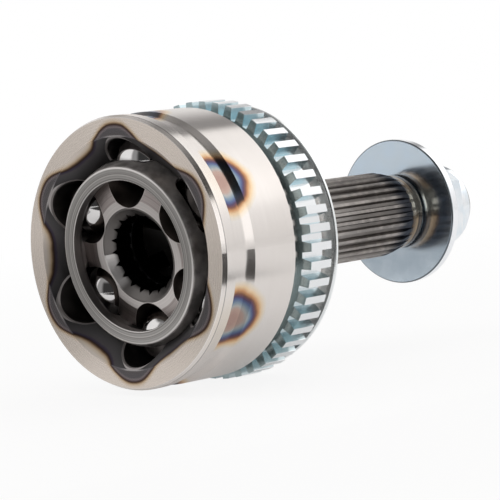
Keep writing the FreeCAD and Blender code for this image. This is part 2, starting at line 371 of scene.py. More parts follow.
# %% [markdown]
# ## Temper colours
# Bright steel that gets hot grows a thin oxide film. Its thickness sets the colour: straw,
# then brown, purple and blue, then pale blue-grey, and rose gold again where it was hottest.
# A thin film shader gives such colours from a thickness, but they change with the angle. On
# tempered steel they hardly do, so a ramp over the heat, multiplied with the bare steel, is
# closer, and it can be matched stop by stop.
# %% Group: temper colours
temper, given, gives = group(
    "Temper colours",
    [("Heat", "value", 0.0), ("Bare", "colour", (0.8, 0.8, 0.8, 1.0))],
    [("Colour", "colour")],
)
film = colours(temper, given["Heat"], [
    (0.00, (1.00, 1.00, 1.00)),
    (0.10, (1.00, 0.94, 0.82)),
    (0.20, (1.00, 0.80, 0.55)),
    (0.30, (0.74, 0.42, 0.22)),
    (0.38, (0.28, 0.14, 0.11)),
    (0.46, (0.13, 0.10, 0.20)),
    (0.54, (0.15, 0.21, 0.40)),
    (0.63, (0.30, 0.41, 0.52)),
    (0.72, (0.52, 0.55, 0.56)),
    (0.82, (0.60, 0.46, 0.41)),
    (1.00, (0.54, 0.38, 0.34)),
])
temper.links.new(blend(temper, 1.0, given["Bare"], film, "MULTIPLY"), gives["Colour"])
print("group made:", temper.name)

# %% [markdown]
# ## Handling marks
# Even a new part has faint cloudy patches of oil and fingerprints, and short fine scratches.
# They could be painted, but noise needs no map and never repeats. This group gives a cloud
# for colour and roughness, and a grain for the bump, each with its size in millimetres.
# %% Group: handling marks
handling, given, gives = group(
    "Handling marks",
    [
        ("Point", "vector", (0.0, 0.0, 0.0)),
        ("Cloud Size", "value", 8.0), ("Grain Size", "value", 0.4),
    ],
    [("Cloud", "value"), ("Grain", "value")],
)
tree = handling
for wanted, size, detail in (("Cloud", "Cloud Size", 4.0), ("Grain", "Grain Size", 2.0)):
    shrink = tree.nodes.new("ShaderNodeVectorMath")
    shrink.operation = "SCALE"
    tree.links.new(given["Point"], shrink.inputs[0])
    feed(tree, shrink.inputs["Scale"], calc(tree, "DIVIDE", 1.0, given[size]))
    tree.links.new(noise(tree, shrink.outputs[0], scale=1.0, detail=detail), gives[wanted])
print("group made:", handling.name)

# %% [markdown]
# ## The bell and its stub shaft
# One forging carries many finishes: ground steel outside with six temper spots where the
# tracks were hardened, a heat-dark mouth and tracks, a phosphated spline, and a bronze temper
# band before the thread. Its faces could be split between several materials, but heat lines
# don't follow edges. So one material chooses between the finishes by depth, radius and angle,
# which are exact on the CAD. All measures below are in millimetres.
# %% Bell: measures
BELL_RADIUS = 43.0
OUTSIDE_FROM = 41.45
FACE_EDGE = 42.36
CONE_EDGE = 36.51
INSIDE_UP_TO = 37.6
HOLLOW_RADIUS = 32.75
LIP_START = 1.4
LIP_END = 5.65
CONE_END = 7.55
RISE_START = 10.85
RISE_END = 13.65
TRACKS_END = 39.5
HOLLOW_END = 50.75
SHAFT_START = 69.75
BAND_START = 124.8
THREAD_START = 131.4
print("the bell's finishes change at", LIP_START, TRACKS_END, SHAFT_START, THREAD_START, "mm")

# %% Bell: coordinates and patterns
bell, tree, shader = finish_of("bell_steel")
where = place(tree, joint_place)
depth, radius, off_track = where["Depth"], where["Radius"], where["From Track"]
angle = calc(tree, "DEGREES", where["Angle"])
track_degrees = calc(tree, "ABSOLUTE", calc(tree, "DEGREES", off_track))
marks = place(tree, handling, Point=where["Point"], Cloud_Size=9.0, Grain_Size=0.35)
wander = both(tree, marks["Cloud"], 0.05)
lines = place(tree, turning_lines, Depth=depth, Radius=radius, Lines_per_mm=4.0, Wander=wander)
off_wall = place(
    tree, track_wall, Depth=depth, Radius=radius, From_Track=off_track,
    Arc_Centre=BELL_TRACK_CENTRE,
)["Off Wall"]
print("the bell's depth, radius, angle and patterns are ready")

# %% Bell: masks
outside = beyond(tree, radius, OUTSIDE_FROM, 0.15)
front_half = before(tree, depth, TRACKS_END, 0.5)
flat_face = before(tree, depth, 0.06, 0.02)
within = both(tree, before(tree, radius, INSIDE_UP_TO, 0.1), front_half)
hollow_radius = before(tree, radius, HOLLOW_RADIUS, 0.25)
hollow_floor = both(tree, before(tree, depth, HOLLOW_END, 0.25), hollow_radius)
inside_bell = either(tree, either(tree, flat_face, within), hollow_floor)
on_cone = both(tree, before(tree, radius, CONE_EDGE, 0.11), front_half)
on_rise = both(tree, beyond(tree, depth, RISE_START, 0.15), before(tree, depth, RISE_END, 0.15))
on_shaft = beyond(tree, depth, SHAFT_START, 0.25)
on_band = beyond(tree, depth, BAND_START, 0.2)
on_thread = beyond(tree, depth, THREAD_START, 0.1)
in_track = both(tree, before(tree, off_wall, 0.03, 0.02), front_half)
not_in_track = calc(tree, "SUBTRACT", 1.0, in_track)
on_sphere = both(tree, beyond(tree, depth, CONE_END, 0.15), not_in_track)
print("the bell's masks are ready")

# %% [markdown]
# ### Temper spots outside
# Each track was hardened from inside, and its heat came through the wall. So each spot is an
# oval centred on its track. It could be painted on an unwrapped wall, but two distances, along
# and across, give the oval at once. A plain oval looks stamped, so a cloud pushes its outline
# in and out. The lip took hardly any colour. Inside the spots, the step behind the groove is
# painted near black as a painted dark reflection, more on the upper half.
# %% Bell: temper spots
SPOT_CENTRE = 8.0
SPOT_HALF_LENGTH = 12.4
SPOT_HALF_WIDTH = 11.6
OVAL_POWER = 1.7
HOTTEST = 1.15
arc_off_track = both(tree, calc(tree, "ABSOLUTE", off_track), BELL_RADIUS)
sideways = calc(tree, "DIVIDE", arc_off_track, SPOT_HALF_WIDTH)
lengthways = calc(tree, "DIVIDE", off(tree, depth, SPOT_CENTRE), SPOT_HALF_LENGTH)
powers = [calc(tree, "POWER", side, OVAL_POWER) for side in (sideways, lengthways)]
spot_reach = calc(tree, "POWER", calc(tree, "ADD", *powers), 1.0 / OVAL_POWER)
spot_reach = calc(tree, "ADD", spot_reach, lifted(tree, marks["Cloud"], 0.24, -0.12))
spot_heat = calc(tree, "SUBTRACT", HOTTEST, spot_reach, clamp=True)
lip_share = lifted(tree, beyond(tree, depth, LIP_END, 0.45), 0.93, 0.07)
spot_heat = both(tree, both(tree, spot_heat, lip_share), outside)
ground_steel = blend(tree, marks["Cloud"], (0.80, 0.755, 0.725), (0.86, 0.82, 0.795))
ground_steel = blend(tree, both(tree, lines["Broad"], 0.25), ground_steel, (0.74, 0.69, 0.66))
spotted = place(tree, temper, Heat=spot_heat, Bare=ground_steel)["Colour"]
# Painted dark reflection: inside the spots the rise behind the groove turns near black, more on
# the upper half.
rise_dark_reflection = both(tree, on_rise, beyond(tree, spot_heat, 0.32, 0.1))
rise_dark_reflection = both(tree, rise_dark_reflection, lifted(tree, beyond(tree, angle, 0.0, 5.0), 0.6, 0.25))
spotted = blend(tree, rise_dark_reflection, spotted, (0.035, 0.036, 0.042))
print("temper spots: one on each of", BALL_COUNT, "tracks")

# %% [markdown]
# ### Heat line in the mouth
# Inside, the same heat ran out over the cone and the face in six lobes. Their outline could
# be drawn as a curve and the face split along it, but the real one fades and has no hard edge.
# So it is a rounded bump over the angle from the track, made with an exponential. The ramps
# follow the oxide from dark grey inside through a brown line and straw to bare steel.
# %% Bell: heat line
LOBE_HALF_ANGLE = 14.7
LOBE_POWER = 2.4
LOBE_HEIGHT = 5.9
HEAT_LINE_RADIUS = 34.2
lobe = calc(tree, "POWER", calc(tree, "DIVIDE", track_degrees, LOBE_HALF_ANGLE), LOBE_POWER)
lobe = calc(tree, "EXPONENT", calc(tree, "MULTIPLY", lobe, -1.0))
heat_line = lifted(tree, lobe, LOBE_HEIGHT, HEAT_LINE_RADIUS)
past_line = calc(tree, "SUBTRACT", radius, heat_line)
past_line = calc(tree, "ADD", past_line, lifted(tree, marks["Cloud"], 0.9, -0.45))
in_heat = before(tree, past_line, 0.0, 0.3)
face_film = colours(tree, straight(tree, past_line, -3.0, 3.0), [
    (0.00, (0.120, 0.110, 0.112)),
    (0.28, (0.115, 0.108, 0.114)),
    (0.40, (0.210, 0.180, 0.185)),
    (0.46, (0.130, 0.100, 0.105)),
    (0.52, (0.045, 0.026, 0.020)),
    (0.57, (0.150, 0.095, 0.060)),
    (0.63, (0.500, 0.370, 0.245)),
    (0.70, (0.690, 0.570, 0.450)),
    (0.85, (0.800, 0.720, 0.655)),
])
cone_film = colours(tree, straight(tree, past_line, -4.0, 2.0), [
    (0.00, (0.050, 0.048, 0.048)),
    (0.35, (0.075, 0.072, 0.075)),
    (0.50, (0.085, 0.078, 0.082)),
    (0.58, (0.055, 0.046, 0.070)),
    (0.66, (0.038, 0.024, 0.019)),
    (0.71, (0.150, 0.095, 0.060)),
    (0.77, (0.500, 0.370, 0.245)),
    (0.84, (0.700, 0.600, 0.490)),
    (0.95, (0.800, 0.720, 0.655)),
])
mouth_colour = blend(tree, on_cone, face_film, cone_film)
print("the heat line runs between", HEAT_LINE_RADIUS, "and", HEAT_LINE_RADIUS + LOBE_HEIGHT, "mm")

# %% [markdown]
# ### Broken edges and tracks
# A turned edge is always broken a little, and the narrow facet catches light. The CAD has
# these facets, but at this size they need a painted highlight, a lighter colour, to show as fine
# lines, and the lip's edge needs a painted shadow, a dark line. A Bevel node could find them, and
# would find every edge alike. A mask round one radius or one depth draws only the wanted lines.
# Where a track cuts the cone, the painted highlight of its ring is widest at the lobe's middle.
# %% Bell: mouth edges and tracks
NARROW_RING = 0.55
WIDE_RING = 1.15
TRACK_RING_END = 8.4
LIP_RADIUS = 42.8
# Painted highlight: a line on the broken front edge, lighter at each lobe's middle.
front_edge_highlight = line(tree, radius, CONE_EDGE + 0.04, 0.12, 0.32)
front_edge_highlight = both(tree, front_edge_highlight, both(tree, front_half, in_heat))
front_edge_highlight_colour = blend(
    tree, before(tree, track_degrees, 6.0, 3.0), (0.15, 0.14, 0.15), (0.40, 0.38, 0.38),
)
mouth_colour = blend(tree, front_edge_highlight, mouth_colour, front_edge_highlight_colour)
mid_lobe = before(tree, track_degrees, 7.5, 3.5)
edge_width = mixed(tree, mid_lobe, NARROW_RING, WIDE_RING)
ring_inside = calc(tree, "SUBTRACT", edge_width, 0.2)
# Painted highlight: a lighter ring on the ground bevel round each track.
track_ring_highlight = both(
    tree, beyond(tree, off_wall, 0.05, 0.03), smooth(tree, off_wall, edge_width, ring_inside),
)
track_ring_highlight = both(tree, track_ring_highlight, before(tree, depth, TRACK_RING_END, 0.2))
mouth_colour = blend(tree, track_ring_highlight, mouth_colour, (0.40, 0.375, 0.37))
mouth_colour = blend(tree, in_track, mouth_colour, (0.075, 0.068, 0.066))
mouth_colour = blend(tree, on_sphere, mouth_colour, (0.060, 0.056, 0.055))
# Painted highlight: a near-white line on the face's outer edge.
face_edge_glint = line(tree, radius, FACE_EDGE, 0.06, 0.16)
face_edge_glint = both(tree, face_edge_glint, before(tree, depth, 0.225, 0.075))
# Painted shadow: a dark line on the lip's front edge.
lip_edge_shadow = line(tree, depth, LIP_START, 0.08, 0.2)
lip_edge_shadow = both(tree, lip_edge_shadow, beyond(tree, radius, LIP_RADIUS, 0.1))
colour = blend(tree, inside_bell, spotted, mouth_colour)
colour = blend(tree, both(tree, face_edge_glint, 0.7), colour, (0.93, 0.90, 0.88))
colour = blend(tree, both(tree, lip_edge_shadow, 0.8), colour, (0.30, 0.285, 0.275))
print("mouth, tracks and their edges coloured")

# %% [markdown]
# ### Spline, band and thread
# The spline was phosphated, which leaves it grey-brown and streaky with lighter tooth tips, and
# its streaky colour turns lighter towards the bell. Behind it, a narrow band was tempered again
# and turned bronze. It could be a material of its own, but its rings fade into each other and
# into the spline, so a ramp along the shaft places them, partly in bronze temper colour and
# partly in painted highlight, and a screened patch is a painted highlight on its smooth side.
# %% Bell: spline
TOOTH_TIP = 13.75
LIGHTER_UP_TO = 98.0
RUN_OUT = 118.25
tooth_tip = beyond(tree, radius, TOOTH_TIP, 0.55)
streaks = noise(tree, where["Point"], scale=0.22, detail=5.0)
dull = blend(tree, tooth_tip, (0.190, 0.176, 0.168), (0.290, 0.270, 0.258))
shiny = blend(tree, tooth_tip, (0.230, 0.210, 0.198), (0.470, 0.435, 0.412))
phosphate = blend(tree, beyond(tree, streaks, 0.55, 0.13), dull, shiny)
# Lighter streaky patches towards the bell.
lighter_towards_bell = before(tree, lifted(tree, streaks, 20.0, depth), LIGHTER_UP_TO, 14.0)
phosphate = blend(tree, both(tree, lighter_towards_bell, 0.55), phosphate, (0.66, 0.63, 0.61))
run_out = beyond(tree, depth, RUN_OUT, 3.25)
phosphate = blend(tree, run_out, phosphate, (0.060, 0.064, 0.078))
colour = blend(tree, on_shaft, colour, phosphate)
print("spline coloured")

# %% Bell: band and thread
BAND_RAMP = (124.0, 132.0)
BAND_RADIUS = 12.4
BAND_HIGHLIGHT_AT = 16.0
# The ramp is partly the bronze temper colour and partly painted light: its light rings are
# painted highlights on the rounded band, and its near-black end is painted as a dark reflection.
band = colours(tree, straight(tree, depth, *BAND_RAMP), [
    (0.00, (0.060, 0.064, 0.078)),
    (0.12, (0.060, 0.040, 0.030)),
    (0.22, (0.220, 0.135, 0.080)),
    (0.50, (0.460, 0.310, 0.190)),
    (0.58, (0.060, 0.045, 0.040)),
    (0.68, (0.220, 0.170, 0.135)),
    (0.78, (0.120, 0.085, 0.065)),
    (0.82, (0.035, 0.032, 0.032)),
    (1.00, (0.030, 0.030, 0.032)),
])
# Painted highlight: a screened warm patch on the band's side near 16 degrees.
band_highlight = line(tree, angle, BAND_HIGHLIGHT_AT, 6.0, 26.0)
band_highlight = both(tree, band_highlight, beyond(tree, radius, BAND_RADIUS, 0.1))
band = blend(tree, both(tree, band_highlight, 0.75), band, (1.0, 0.86, 0.68), "SCREEN")
colour = blend(tree, on_band, colour, band)
colour = blend(tree, on_thread, colour, (0.45, 0.46, 0.46))
tree.links.new(colour, shader.inputs["Base Color"])
print("band and thread coloured")

# %% [markdown]
# ### Roughness and relief of the bell
# Turned steel is glossy along its lines and dull across them. The lines could be modelled, but
# real ones are a few micrometres deep. So a Bump node is enough for them, and an anisotropic
# highlight, stretched across the lines, does the rest.
# %% Bell: roughness and relief
rough = lifted(tree, lines["Fine"], 0.14, 0.15)
rough = mixed(tree, flat_face, rough, lifted(tree, lines["Fine"], 0.10, 0.21))
rough = mixed(tree, on_cone, rough, lifted(tree, marks["Cloud"], 0.2, 0.30))
rough = mixed(tree, in_track, rough, 0.32)
rough = mixed(tree, on_shaft, rough, lifted(tree, marks["Grain"], 0.2, 0.34))
rough = mixed(tree, on_band, rough, 0.18)
tree.links.new(rough, shader.inputs["Roughness"])
shader.inputs["Metallic"].default_value = 1.0
turned_gloss(tree, shader, 0.8)
height = lifted(tree, marks["Grain"], 0.25, lines["Fine"])
height = both(tree, height, lifted(tree, flat_face, -0.5, 1.0))
relief(tree, shader, height, 0.005)
dress(bell, "outer_race")
print("material:", bell.name)

# %% [markdown]
# ## Zinc plated pieces
# The sensor ring, the shield, the washer and the nut are bright zinc, which looks like pale
# blue-grey chrome with a faint milky cloud. One material could serve all four, but then none
# could have marks of its own. So one function makes the plating, as one bath did for the real
# pieces, and each piece then adds its own marks to the colour.
# %% Zinc finish
def zinc(name, light, dark, roughness):
    """Plating with a milky cloud; returns what a piece needs to add its own marks."""
    material, tree, shader = finish_of(name)
    where = place(tree, joint_place)
    marks = place(tree, handling, Point=where["Point"], Cloud_Size=5.0, Grain_Size=0.5)
    plating = blend(tree, beyond(tree, marks["Cloud"], 0.5, 0.2), dark, light)
    rough = lifted(tree, marks["Cloud"], 0.14, roughness - 0.07)
    tree.links.new(rough, shader.inputs["Roughness"])
    shader.inputs["Metallic"].default_value = 1.0
    relief(tree, shader, calc(tree, "ADD", marks["Grain"], marks["Cloud"]), 0.004)
    return material, tree, shader, where, plating


print("zinc plating ready")

# %% [markdown]
# ### Ring
# The teeth were milled, so their flanks are smoother than the turned tips, and the plating
# shows bluer on them. The ring's lower side is painted greyer as painted shade, so the teeth
# are bluest on the upper side. The front faces are painted darker as painted shade, darkest
# where the ring meets the bell. The faces could be picked by hand, but 48 teeth have nearly
# 200 of them, and radius and depth tell tips, gaps and front faces apart by themselves.
# %% Ring
RING_FRONT = 37.725
CORNER_RADIUS = 41.3
TOOTH_TOP = 44.4
GAP_FLOOR = 40.85
ring_zinc, tree, shader, where, plating = zinc(
    "ring_zinc", (0.72, 0.845, 0.885), (0.60, 0.745, 0.795), 0.24,
)
# Painted shade: the lower side of the ring is greyer.
low_side_shade = before(tree, calc(tree, "DEGREES", where["Angle"]), -5.0, 20.0)
plating = blend(tree, both(tree, low_side_shade, 0.6), plating, (0.60, 0.675, 0.69))
tooth_top = beyond(tree, where["Radius"], TOOTH_TOP, 0.1)
gap_floor = before(tree, where["Radius"], GAP_FLOOR, 0.1)
plating = blend(tree, either(tree, tooth_top, gap_floor), plating, (0.90, 0.92, 0.94))
# Painted shade: the front faces are darker, darkest near the bell.
corner_shade = before(tree, where["Radius"], CORNER_RADIUS, 0.3)
front_shade_colour = blend(tree, corner_shade, (0.49, 0.610, 0.635), (0.25, 0.335, 0.355))
ring_front = before(tree, where["Depth"], RING_FRONT, 0.075)
plating = blend(tree, ring_front, plating, front_shade_colour)
tree.links.new(plating, shader.inputs["Base Color"])
dress(ring_zinc, "tone_ring")
print("material:", ring_zinc.name)

# %% [markdown]
# ### Shield
# The pressed shield's front is painted dark, as painted shade in the gap where it faces the
# ring, and its rim and back keep the bright plating. Each side could have a material, but the
# sheet is one piece from one bath. So the same plating with two masks gives both sides.
# %% Shield
SHIELD_RIM = 42.45
SHIELD_FRONT = 50.05
SHIELD_BACK = 50.8
# Painted shade: the plating given here is dark for the shield's front.
shield_zinc, tree, shader, where, plating = zinc(
    "shield_zinc", (0.31, 0.42, 0.43), (0.22, 0.31, 0.32), 0.26,
)
rim = both(
    tree, beyond(tree, where["Radius"], SHIELD_RIM, 0.15),
    beyond(tree, where["Depth"], SHIELD_FRONT, 0.1),
)
back_side = beyond(tree, where["Depth"], SHIELD_BACK, 0.1)
plating = blend(tree, either(tree, rim, back_side), plating, (0.93, 0.96, 0.97))
tree.links.new(plating, shader.inputs["Base Color"])
dress(shield_zinc, "dust_shield")
print("material:", shield_zinc.name)

# %% [markdown]
# ### Washer and nut
# The washer's flat faces are a cool mid blue-grey, with a thin line of painted shade where the
# front edge turns over. Its rim and the nut are brighter. The painted shade could be a thin ring
# of its own, but depth and radius place it, and they part the faces from the rim.
# The nut keeps the plain plating.
# %% Washer and nut
WASHER_FRONT = 132.2
WASHER_BACK = 134.9
WASHER_EDGE = 24.35
washer_zinc, tree, shader, where, plating = zinc(
    "washer_zinc", (0.74, 0.85, 0.95), (0.66, 0.78, 0.90), 0.17,
)
# Painted shade: a thin dark line on the front face's outer edge.
edge_turn_shade = beyond(tree, where["Radius"], WASHER_EDGE, 0.15)
edge_turn_shade = both(tree, edge_turn_shade, before(tree, where["Depth"], WASHER_FRONT, 0.1))
plating = blend(tree, edge_turn_shade, plating, (0.15, 0.17, 0.19))
rim = beyond(tree, where["Depth"], WASHER_FRONT, 0.1)
rim = both(tree, rim, before(tree, where["Depth"], WASHER_BACK, 0.1))
plating = blend(tree, rim, plating, (0.95, 0.97, 1.0))
tree.links.new(plating, shader.inputs["Base Color"])
dress(washer_zinc, "washer")

nut_zinc, tree, shader, where, plating = zinc(
    "nut_zinc", (0.94, 0.97, 1.0), (0.82, 0.89, 0.95), 0.2,
)
tree.links.new(plating, shader.inputs["Base Color"])
dress(nut_zinc, "axle_nut")
print("materials:", washer_zinc.name, "and", nut_zinc.name)

# %% [markdown]
# ## Cage
# The cage was ground on its two flat ends, so those are light grey with a few turned lines,
# a lighter line halfway across, and painted highlights on the broken edges. Its round outside
# still has the dark skin from hardening, and its inside is painted a little darker as painted
# shade. Two materials on picked faces would do as well, but one with a mask by depth needs no
# picking. The coordinates are leaned by half the joint's bend, as the cage is.
# %% Cage
BEND_DEGREES = 9.24
HALF_CAGE = 12.835
CAGE_BORE = 24.25
CAGE_MIDDLE = 25.7
CAGE_OUTSIDE = 27.45
cage_steel, tree, shader = finish_of("cage_steel")
where = place(tree, joint_place, Lean=math.radians(BEND_DEGREES / 2))
depth, radius = where["Depth"], where["Radius"]
marks = place(tree, handling, Point=where["Point"], Cloud_Size=6.0, Grain_Size=0.3)
lines = place(tree, turning_lines, Depth=depth, Radius=radius, Lines_per_mm=2.4)
on_end = beyond(tree, off(tree, depth, MOUTH_TO_CENTRE), HALF_CAGE, 0.085)
patches = beyond(tree, marks["Cloud"], 0.5, 0.15)
skin = blend(tree, patches, (0.220, 0.205, 0.200), (0.420, 0.395, 0.385))
# Painted shade: the inside wall is a little darker than the skin.
skin = blend(tree, before(tree, radius, 24.4, 0.2), skin, (0.20, 0.185, 0.18))
rings = beyond(tree, lines["Fine"], 0.48, 0.14)
ground_end = blend(tree, rings, (0.26, 0.250, 0.240), (0.45, 0.435, 0.425))
# Painted highlights: lighter lines on the bore and outer edges of the flat ends, with a lighter
# line halfway across.
edge = either(
    tree, before(tree, radius, CAGE_BORE, 0.1), beyond(tree, radius, CAGE_OUTSIDE, 0.15),
)
middle_line = line(tree, radius, CAGE_MIDDLE, 0.12, 0.3)
edge = either(tree, edge, both(tree, middle_line, 0.6))
ground_end = blend(tree, edge, ground_end, (0.66, 0.64, 0.625))
tree.links.new(blend(tree, on_end, skin, ground_end), shader.inputs["Base Color"])
rough = mixed(tree, on_end, lifted(tree, marks["Cloud"], 0.14, 0.44), 0.3)
tree.links.new(rough, shader.inputs["Roughness"])
shader.inputs["Metallic"].default_value = 1.0
turned_gloss(tree, shader, 0.5)
relief(tree, shader, lines["Fine"], 0.012)
dress(cage_steel, "cage")
print("material:", cage_steel.name)

# %% [markdown]
# ## Inner race
# The race is turned all over, then hardened. Its flat end is pinkish grey with lathe lines, its
# lands are browner, and its ball tracks brown-black with a painted highlight along their edges.
# Its bore and the back behind it are painted black as painted shade. The bore's chamfer has a
# painted highlight on one side and is painted dark as painted shade on the rest. A vertex colour
# could mark the zones, but it would need a finer mesh to be sharp. So masks by radius part them,
# and the track wall group finds the tracks, because race and bell were cut to the same arc.
# %% Inner race: masks
LAND_RADIUS = 18.15
CHAMFER_RADIUS = 15.425
BORE_RADIUS = 14.45
CHAMFER_HIGHLIGHT_AT = -160.0
race_steel, tree, shader = finish_of("race_steel")
where = place(tree, joint_place, Lean=math.radians(BEND_DEGREES))
depth, radius = where["Depth"], where["Radius"]
angle = calc(tree, "DEGREES", where["Angle"])
marks = place(tree, handling, Point=where["Point"], Cloud_Size=5.0, Grain_Size=0.3)
lines = place(tree, turning_lines, Depth=depth, Radius=radius, Lines_per_mm=2.2)
off_wall = place(
    tree, track_wall, Depth=depth, Radius=radius, From_Track=where["From Track"],
    Arc_Centre=RACE_TRACK_CENTRE,
)["Off Wall"]
on_land = beyond(tree, radius, LAND_RADIUS, 0.15)
on_chamfer = before(tree, radius, CHAMFER_RADIUS, 0.075)
chamfer_highlight = line(tree, angle, CHAMFER_HIGHLIGHT_AT, 14.0, 30.0)
in_track = before(tree, off_wall, 0.015, 0.015)
track_edge_highlight = both(
    tree, before(tree, off_wall, 0.275, 0.075), calc(tree, "SUBTRACT", 1.0, in_track),
)
bore_shade = both(tree, before(tree, radius, BORE_RADIUS, 0.15), beyond(tree, depth, 8.75, 0.75))
back_shade = both(tree, before(tree, radius, 23.5, 0.5), beyond(tree, depth, 25.0, 1.0))
print("the race's masks are ready")

# %% Inner race: colour and relief
streak = lifted(tree, lines["Fine"], 0.7, both(tree, lines["Broad"], 0.3))
colour = blend(tree, streak, (0.56, 0.525, 0.512), (0.88, 0.836, 0.820))
brown = blend(tree, streak, (0.21, 0.180, 0.175), (0.58, 0.520, 0.505))
colour = blend(tree, on_land, colour, brown)
# Painted highlight on one side of the bore's chamfer, and painted shade on the rest.
chamfer = blend(tree, chamfer_highlight, (0.16, 0.150, 0.145), (0.92, 0.89, 0.88))
colour = blend(tree, on_chamfer, colour, chamfer)
track_brown = blend(tree, marks["Cloud"], (0.055, 0.045, 0.040), (0.11, 0.092, 0.083))
colour = blend(tree, in_track, colour, track_brown)
# Painted highlight: a lighter band along each track edge.
colour = blend(tree, both(tree, track_edge_highlight, 0.5), colour, (0.66, 0.62, 0.60))
# Painted shade: the bore and the back of the race are near black.
colour = blend(tree, either(tree, bore_shade, back_shade), colour, (0.008, 0.0075, 0.0075))
tree.links.new(colour, shader.inputs["Base Color"])
tree.links.new(lifted(tree, marks["Cloud"], 0.14, 0.27), shader.inputs["Roughness"])
shader.inputs["Metallic"].default_value = 1.0
turned_gloss(tree, shader, 0.4)
relief(tree, shader, lines["Fine"], 0.014)
dress(race_steel, "inner_race")
print("material:", race_steel.name)

# %% [markdown]
# ## Wire ring
# A black spring wire sits in the race's bore and keeps the shaft in. Spring wire is drawn and
# then blackened, so it is nearly black with a soft gloss. A plain black would nearly do, but
# it looks like plastic. The shared clouds and grain make its gloss uneven, as on real wire.
# %% Wire ring
spring_steel, tree, shader = finish_of("spring_steel")
where = place(tree, joint_place, Lean=math.radians(BEND_DEGREES))
marks = place(tree, handling, Point=where["Point"], Cloud_Size=3.0, Grain_Size=0.3)
# Painted shade: the black is darker still, so that the wire stays dark in the bore.
black = blend(tree, marks["Cloud"], (0.010, 0.010, 0.011), (0.020, 0.020, 0.021))
tree.links.new(black, shader.inputs["Base Color"])
tree.links.new(lifted(tree, marks["Cloud"], 0.14, 0.3), shader.inputs["Roughness"])
shader.inputs["Metallic"].default_value = 1.0
relief(tree, shader, marks["Grain"], 0.004)
dress(spring_steel, "retaining_circlip")
print("material:", spring_steel.name)

# %% [markdown]
# ## Balls
# Bearing balls are lapped to a mirror. What shows on them is the room: a white wall, a dark
# side, and the cage round them. One ball, at 30 degrees, is painted nearly black and made
# rougher, as painted shade. It could have a material of its own, but a mask by angle keeps all
# six on one.
# %% Balls
SHADED_BALL_AT = 30.0
ball_steel, tree, shader = finish_of("ball_steel")
where = place(tree, joint_place)
marks = place(tree, handling, Point=where["Point"], Cloud_Size=4.0, Grain_Size=0.6)
clean = blend(tree, marks["Cloud"], (0.66, 0.65, 0.65), (0.76, 0.75, 0.75))
# Painted shade: the ball at 30 degrees is nearly black.
ball_shade = line(tree, calc(tree, "DEGREES", where["Angle"]), SHADED_BALL_AT, 26.0, 29.0)
tree.links.new(blend(tree, ball_shade, clean, (0.045, 0.040, 0.038)), shader.inputs["Base Color"])
lapped = lifted(tree, marks["Cloud"], 0.06, 0.04)
tree.links.new(lifted(tree, ball_shade, 0.2, lapped), shader.inputs["Roughness"])
shader.inputs["Metallic"].default_value = 1.0
dress(ball_steel, *["ball_%d" % (number + 1) for number in range(BALL_COUNT)])
print("material:", ball_steel.name)

# %% [markdown]
# ## Floor
# The floor is pale board that keeps the joint's soft shadow. More light could burn it out to
# white, but it would burn out the steel too. Instead, the camera sees most of the board as
# plain white, more so farther off, so that it runs into the background with no line. Glossy
# rays get a small share of that white, because the polished steel shows the floor.
# %% Floor
def flat_sheet(name, corners, height):
    """A level stage piece from four (x, y) corners."""
    mesh = bpy.data.meshes.new(name)
    mesh.from_pydata([(x, y, 0.0) for x, y in corners], [], [(0, 1, 2, 3)])
    sheet = bpy.data.objects.new(name, mesh)
    sheet.location.z = height
    bpy.context.scene.collection.objects.link(sheet)
    return sheet


HALF_SIDE = 4.0
HAIRLINE = 0.0002
floor_corners = [
    (-HALF_SIDE, -HALF_SIDE), (HALF_SIDE, -HALF_SIDE),
    (HALF_SIDE, HALF_SIDE), (-HALF_SIDE, HALF_SIDE),
]
floor_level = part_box("tone_ring")[0][2]
floor = flat_sheet("studio_floor", floor_corners, floor_level - HAIRLINE)
print("floor at", round(floor_level * 1000, 1), "mm")

# %% Floor paint
FADE_FROM = 0.2
FADE_TO = 0.6
WHITE_BY_THE_JOINT = 0.88
WHITE_IN_THE_STEEL = 0.3
floor_paint, tree, shader = finish_of("studio_floor_paint")
feed(tree, shader.inputs["Base Color"], (0.86, 0.855, 0.85))
shader.inputs["Roughness"].default_value = 0.6
shader.inputs["Specular IOR Level"].default_value = 0.3
seen = tree.nodes.new("ShaderNodeLightPath")
centre_off = tree.nodes.new("ShaderNodeVectorMath")
centre_off.operation = "LENGTH"
tree.links.new(tree.nodes.new("ShaderNodeTexCoord").outputs["Object"], centre_off.inputs[0])
white_share = straight(
    tree, centre_off.outputs["Value"], FADE_FROM, FADE_TO, WHITE_BY_THE_JOINT, 1.0,
)
white_share = both(tree, white_share, seen.outputs["Is Camera Ray"])
white_share = lifted(tree, seen.outputs["Is Glossy Ray"], WHITE_IN_THE_STEEL, white_share)
glow = tree.nodes.new("ShaderNodeEmission")
glow.inputs["Color"].default_value = (1.0, 1.0, 1.0, 1.0)
glow.inputs["Strength"].default_value = 1.0
painted = tree.nodes.new("ShaderNodeMixShader")
tree.links.new(white_share, painted.inputs[0])
tree.links.new(shader.outputs[0], painted.inputs[1])
tree.links.new(glow.outputs[0], painted.inputs[2])
tree.links.new(painted.outputs[0], tree.nodes["Material Output"].inputs["Surface"])
floor.data.materials.append(floor_paint)
print("floor painted")

